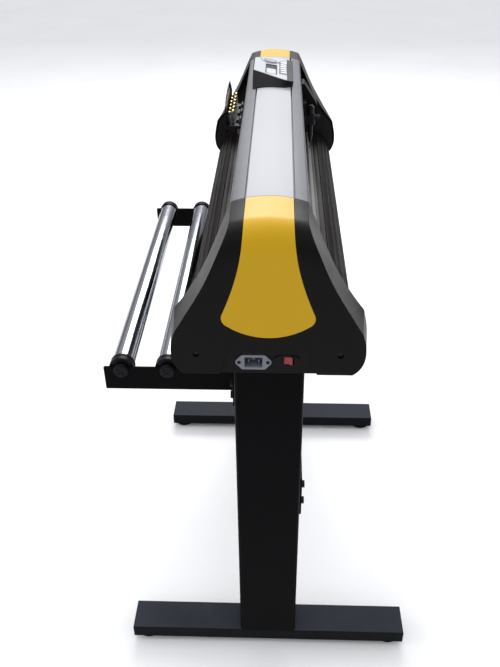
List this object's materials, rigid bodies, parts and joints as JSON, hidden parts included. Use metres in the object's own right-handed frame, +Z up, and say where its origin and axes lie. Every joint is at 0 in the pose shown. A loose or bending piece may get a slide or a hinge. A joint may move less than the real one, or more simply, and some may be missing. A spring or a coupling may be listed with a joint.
{
  "type": "vinyl cutting plotter on a floor stand",
  "caption": "Roll-media vinyl cutter on a two-legged stand: crowned beam between sculpted end caps, tool carriage, sliding pinch-roller head, keypad and rear roll-holder rollers.",
  "frame": {"origin": "on the floor under the middle of the overall box", "axes": "+X along the machine towards the control-panel end, -Y towards the operator, +Z up"},
  "size_m": [0.9296, 0.545, 1.003],
  "materials": {
    "frame_paint": "satin powder coat",
    "foot_paint": "satin powder coat",
    "pad_rubber": "matt",
    "cap_plastic": "fine spark-eroded texture",
    "inlay_yellow": "satin",
    "cover_silver": "satin",
    "beam_anodised": "satin anodised",
    "rail_steel": "ground",
    "platen_paint": "satin",
    "strip_plastic": "matt",
    "apron_anodised": "dark anodised, ribbed",
    "sheet_steel": "satin",
    "roller_plate": "satin plated",
    "collar_plastic": "matt",
    "grit_steel": "gritted zones on ground steel",
    "motor_black": "satin",
    "pulley_alu": "machined",
    "belt_rubber": "matt",
    "board_green": "solder mask",
    "carriage_alu": "black anodised",
    "carriage_plastic": "fine texture",
    "tool_alu": "satin anodised",
    "holder_brass": "turned",
    "knob_plastic": "matt",
    "head_alu": "black anodised",
    "lever_steel": "zinc plated",
    "wheel_rubber": "matt",
    "spring_brass": "yellow passivated",
    "handle_paint": "satin",
    "panel_plastic": "fine texture",
    "panel_silver": "satin film",
    "window_clear": "polished",
    "key_plastic": "satin",
    "pad_plastic": "satin",
    "inlet_plastic": "matt",
    "rocker_red": "polished",
    "bolt_zinc": "zinc plated"
  },
  "bodies": {
    "machine": {"foot_left": "foot_paint", "foot_right": "foot_paint", "levelling_pads": "pad_rubber", "leg_left": "frame_paint", "leg_right": "frame_paint", "crossbar": "frame_paint", "fasteners": "bolt_zinc", "roll_arm_left": "frame_paint", "roll_arm_right": "frame_paint", "end_cap_left": "cap_plastic", "end_cap_right": "cap_plastic", "cap_inlays": "inlay_yellow", "inlet_socket": "inlet_plastic", "top_cover": "cover_silver", "beam": "beam_anodised", "guide_rail": "rail_steel", "platen": "platen_paint", "cutting_strip": "strip_plastic", "aprons": "apron_anodised", "bottom_pan": "sheet_steel", "end_plate_left": "sheet_steel", "end_plate_right": "sheet_steel", "drive_motors": "motor_black", "feed_belt": "belt_rubber", "switch_plate": "cap_plastic", "carriage_belt": "belt_rubber", "control_board": "board_green", "panel_housing": "panel_plastic", "panel_face": "panel_silver", "display_window": "window_clear"},
    "power_rocker": {"rocker": "rocker_red"},
    "roller_front": {"media_roller_front": "roller_plate", "roller_ends_front": "collar_plastic"},
    "roller_rear": {"media_roller_rear": "roller_plate", "roller_ends_rear": "collar_plastic"},
    "feed_shaft": {"grit_shaft": "grit_steel"},
    "feed_pulley": {"feed_motor_pulley": "pulley_alu"},
    "drive_pulley": {"carriage_drive_pulley": "pulley_alu"},
    "idler_pulley": {"carriage_idler_pulley": "pulley_alu"},
    "carriage": {"carriage_plate": "carriage_alu", "carriage_cover": "carriage_plastic"},
    "tool": {"tool_slide": "tool_alu", "blade_holder": "holder_brass"},
    "tool_knob": {"clamp_knob": "knob_plastic"},
    "pinch_unit": {"pinch_head": "head_alu", "pinch_springs": "spring_brass"},
    "lift_bar": {"lift_handle": "handle_paint"},
    "direction_pad": {"arrow_pad": "pad_plastic"},
    "pinch_lever_1": {"pinch_arm_1": "lever_steel"},
    "pinch_roller_1": {"pinch_wheel_1": "wheel_rubber"},
    "pinch_lever_2": {"pinch_arm_2": "lever_steel"},
    "pinch_roller_2": {"pinch_wheel_2": "wheel_rubber"},
    "pinch_lever_3": {"pinch_arm_3": "lever_steel"},
    "pinch_roller_3": {"pinch_wheel_3": "wheel_rubber"},
    "key_1": {"panel_key_1": "key_plastic"},
    "key_2": {"panel_key_2": "key_plastic"},
    "key_3": {"panel_key_3": "key_plastic"},
    "key_4": {"panel_key_4": "key_plastic"},
    "key_5": {"panel_key_5": "key_plastic"},
    "key_6": {"panel_key_6": "key_plastic"}
  },
  "joints": [
    {"name": "carriage_slide", "type": "slide", "parent": "machine", "child": "carriage", "axis": [1, 0, 0], "range_m": [-0.62, 0.025]},
    {"name": "tool_lift", "type": "slide", "parent": "carriage", "child": "tool", "axis": [0, 0, 1], "range_m": [-0.004, 0], "stiffness_N_per_m": 300, "springref_m": 0.005},
    {"name": "clamp_knob_turn", "type": "hinge", "parent": "tool", "child": "tool_knob", "pos_m": [0.28, -0.09, 0.877], "axis": [0, -1, 0], "range_deg": [0, 270]},
    {"name": "carriage_drive_spin", "type": "hinge", "parent": "machine", "child": "drive_pulley", "pos_m": [-0.427, -0.043, 0.935], "axis": [0, 1, 0], "continuous": true},
    {"name": "carriage_idler_spin", "type": "hinge", "parent": "machine", "child": "idler_pulley", "pos_m": [0.427, -0.043, 0.935], "axis": [0, 1, 0], "continuous": true},
    {"name": "grit_spin", "type": "hinge", "parent": "machine", "child": "feed_shaft", "pos_m": [0, -0.035, 0.7975], "axis": [1, 0, 0], "continuous": true},
    {"name": "feed_motor_spin", "type": "hinge", "parent": "machine", "child": "feed_pulley", "pos_m": [0.417, 0.0325, 0.784], "axis": [1, 0, 0], "continuous": true},
    {"name": "pinch_head_slide", "type": "slide", "parent": "machine", "child": "pinch_unit", "axis": [1, 0, 0], "range_m": [-0.51, 0.06]},
    {"name": "lift_handle_turn", "type": "hinge", "parent": "pinch_unit", "child": "lift_bar", "pos_m": [0.232, 0.084, 0.886], "axis": [-1, 0, 0], "range_deg": [0, 35]},
    {"name": "pinch_lever_1_swing", "type": "hinge", "parent": "pinch_unit", "child": "pinch_lever_1", "pos_m": [0.1862, 0.03, 0.866], "axis": [-1, 0, 0], "range_deg": [0, 7]},
    {"name": "pinch_roller_1_spin", "type": "hinge", "parent": "pinch_lever_1", "child": "pinch_roller_1", "pos_m": [0.1862, -0.035, 0.8149], "axis": [1, 0, 0], "continuous": true},
    {"name": "pinch_lever_2_swing", "type": "hinge", "parent": "pinch_unit", "child": "pinch_lever_2", "pos_m": [0.2316, 0.03, 0.866], "axis": [-1, 0, 0], "range_deg": [0, 7]},
    {"name": "pinch_roller_2_spin", "type": "hinge", "parent": "pinch_lever_2", "child": "pinch_roller_2", "pos_m": [0.2316, -0.035, 0.8149], "axis": [1, 0, 0], "continuous": true},
    {"name": "pinch_lever_3_swing", "type": "hinge", "parent": "pinch_unit", "child": "pinch_lever_3", "pos_m": [0.277, 0.03, 0.866], "axis": [-1, 0, 0], "range_deg": [0, 7]},
    {"name": "pinch_roller_3_spin", "type": "hinge", "parent": "pinch_lever_3", "child": "pinch_roller_3", "pos_m": [0.277, -0.035, 0.8149], "axis": [1, 0, 0], "continuous": true},
    {"name": "media_roller_front_spin", "type": "hinge", "parent": "machine", "child": "roller_front", "pos_m": [0, 0.1655, 0.652], "axis": [1, 0, 0], "continuous": true},
    {"name": "media_roller_rear_spin", "type": "hinge", "parent": "machine", "child": "roller_rear", "pos_m": [0, 0.2405, 0.652], "axis": [1, 0, 0], "continuous": true},
    {"name": "rocker_tilt", "type": "hinge", "parent": "machine", "child": "power_rocker", "pos_m": [-0.4575, -0.028, 0.7855], "axis": [0, 0, 1], "range_deg": [0, 20]},
    {"name": "key_1_press", "type": "slide", "parent": "machine", "child": "key_1", "axis": [0, -0.1767, 0.9843], "range_m": [-0.0012, 0], "stiffness_N_per_m": 250, "springref_m": 0.0004},
    {"name": "key_2_press", "type": "slide", "parent": "machine", "child": "key_2", "axis": [0, -0.1767, 0.9843], "range_m": [-0.0012, 0], "stiffness_N_per_m": 250, "springref_m": 0.0004},
    {"name": "key_3_press", "type": "slide", "parent": "machine", "child": "key_3", "axis": [0, -0.1767, 0.9843], "range_m": [-0.0012, 0], "stiffness_N_per_m": 250, "springref_m": 0.0004},
    {"name": "key_4_press", "type": "slide", "parent": "machine", "child": "key_4", "axis": [0, -0.1767, 0.9843], "range_m": [-0.0012, 0], "stiffness_N_per_m": 250, "springref_m": 0.0004},
    {"name": "key_5_press", "type": "slide", "parent": "machine", "child": "key_5", "axis": [0, -0.1767, 0.9843], "range_m": [-0.0012, 0], "stiffness_N_per_m": 250, "springref_m": 0.0004},
    {"name": "key_6_press", "type": "slide", "parent": "machine", "child": "key_6", "axis": [0, -0.1767, 0.9843], "range_m": [-0.0012, 0], "stiffness_N_per_m": 250, "springref_m": 0.0004},
    {"name": "direction_pad_press", "type": "slide", "parent": "machine", "child": "direction_pad", "axis": [0, -0.1767, 0.9843], "range_m": [-0.0012, 0], "stiffness_N_per_m": 300, "springref_m": 0.0006}
  ],
  "couplings": [
    {"joint": "carriage_drive_spin", "follows": "carriage_slide", "rad_per_m": 147.06},
    {"joint": "carriage_idler_spin", "follows": "carriage_slide", "rad_per_m": 147.06},
    {"joint": "feed_motor_spin", "follows": "grit_spin", "ratio": 2.6149},
    {"joint": "pinch_lever_1_swing", "follows": "lift_handle_turn", "ratio": 0.17},
    {"joint": "pinch_lever_2_swing", "follows": "lift_handle_turn", "ratio": 0.17},
    {"joint": "pinch_lever_3_swing", "follows": "lift_handle_turn", "ratio": 0.17}
  ]
}
